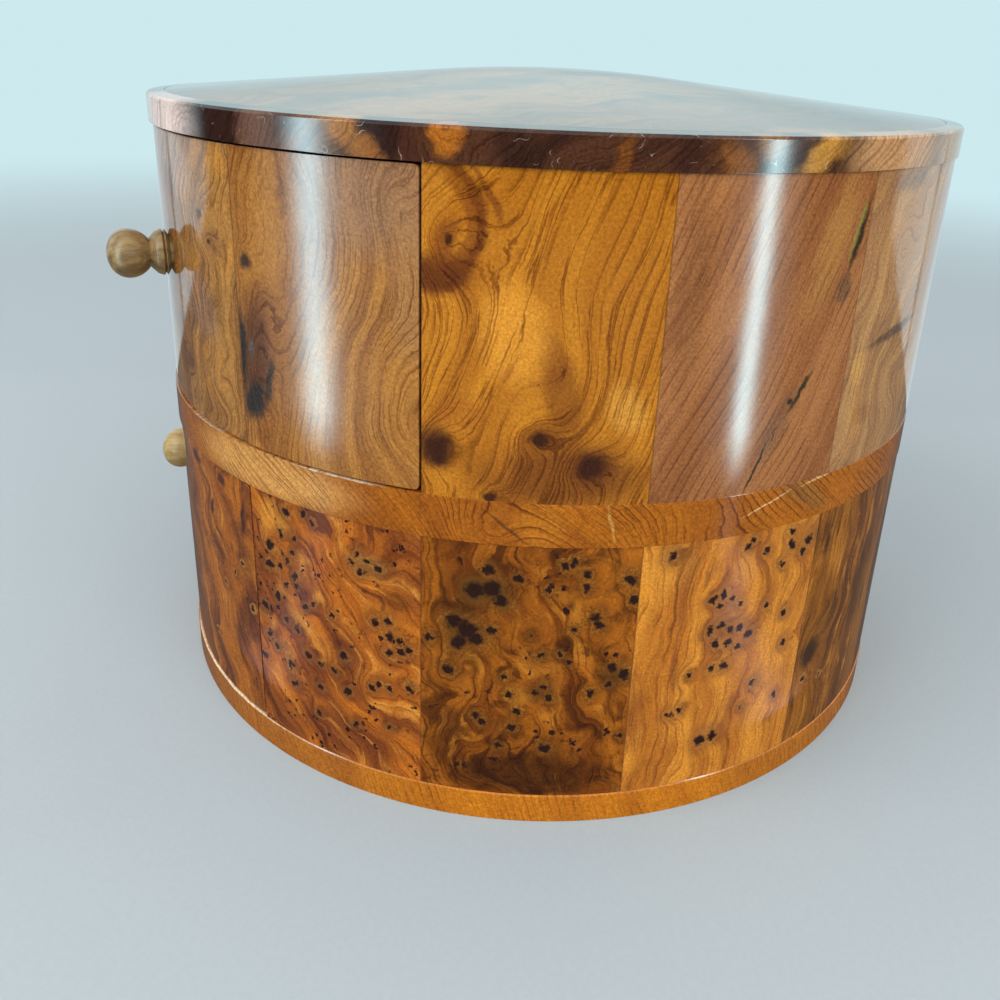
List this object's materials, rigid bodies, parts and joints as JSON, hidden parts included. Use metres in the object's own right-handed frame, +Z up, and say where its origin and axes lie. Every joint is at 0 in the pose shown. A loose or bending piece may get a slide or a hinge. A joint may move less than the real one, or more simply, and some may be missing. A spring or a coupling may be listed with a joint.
{
  "type": "drum jewelry box",
  "caption": "Drum-shaped jewelry box of varnished burl wood, with curved sliding drawers, turned knobs and a low domed top.",
  "frame": {"origin": "centre of the underside of the base board, on the drum's axis", "axes": "+Z up along the drum's axis; the drawers face -Y and slide out that way; +X is to the right as seen from the front"},
  "size_m": [0.2012, 0.2142, 0.1559],
  "materials": {
    "burl_varnished": "burl wood under clear gloss varnish",
    "band_varnished": "plain wood band under clear gloss varnish",
    "knob_wood": "pale turned wood, satin",
    "carcass_board": "planed board, bare",
    "drawer_board": "planed board, satin",
    "felt_lining": "thin glued felt"
  },
  "bodies": {
    "carcass": {"base_board": "carcass_board", "base_band": "band_varnished", "lower_wall_stave_01": "burl_varnished", "lower_wall_stave_02": "burl_varnished", "lower_wall_stave_03": "burl_varnished", "lower_wall_stave_04": "burl_varnished", "lower_wall_stave_05": "burl_varnished", "lower_wall_stave_06": "burl_varnished", "lower_wall_stave_07": "burl_varnished", "lower_wall_stave_08": "burl_varnished", "lower_wall_stave_09": "burl_varnished", "lower_wall_stave_10": "burl_varnished", "lower_rail_left": "carcass_board", "lower_rail_right": "carcass_board", "mid_deck": "carcass_board", "mid_band": "band_varnished", "upper_wall_stave_01": "burl_varnished", "upper_wall_stave_02": "burl_varnished", "upper_wall_stave_03": "burl_varnished", "upper_wall_stave_04": "burl_varnished", "upper_wall_stave_05": "burl_varnished", "upper_wall_stave_06": "burl_varnished", "upper_wall_stave_07": "burl_varnished", "upper_wall_stave_08": "burl_varnished", "upper_rail_left": "carcass_board", "upper_rail_right": "carcass_board", "centre_divider": "carcass_board", "top_panel": "burl_varnished", "lid_band": "band_varnished"},
    "lower_drawer": {"lower_front_stave_1": "burl_varnished", "lower_front_stave_2": "burl_varnished", "lower_front_stave_3": "burl_varnished", "lower_front_stave_4": "burl_varnished", "lower_side_left": "drawer_board", "lower_side_right": "drawer_board", "lower_back": "drawer_board", "lower_bottom": "drawer_board", "lower_lining": "felt_lining", "lower_knob": "knob_wood"},
    "upper_left_drawer": {"upper_left_front_stave_1": "burl_varnished", "upper_left_front_stave_2": "burl_varnished", "upper_left_front_stave_3": "burl_varnished", "upper_left_side_inner": "drawer_board", "upper_left_side_outer": "drawer_board", "upper_left_back": "drawer_board", "upper_left_bottom": "drawer_board", "upper_left_lining": "felt_lining", "upper_left_knob": "knob_wood"},
    "upper_right_drawer": {"upper_right_front_stave_1": "burl_varnished", "upper_right_front_stave_2": "burl_varnished", "upper_right_front_stave_3": "burl_varnished", "upper_right_side_inner": "drawer_board", "upper_right_side_outer": "drawer_board", "upper_right_back": "drawer_board", "upper_right_bottom": "drawer_board", "upper_right_lining": "felt_lining", "upper_right_knob": "knob_wood"}
  },
  "joints": [
    {"name": "lower_drawer_slide", "type": "slide", "parent": "carcass", "child": "lower_drawer", "axis": [0, -1, 0], "range_m": [0, 0.09]},
    {"name": "upper_left_drawer_slide", "type": "slide", "parent": "carcass", "child": "upper_left_drawer", "axis": [0, -1, 0], "range_m": [0, 0.09]},
    {"name": "upper_right_drawer_slide", "type": "slide", "parent": "carcass", "child": "upper_right_drawer", "axis": [0, -1, 0], "range_m": [0, 0.09]}
  ]
}
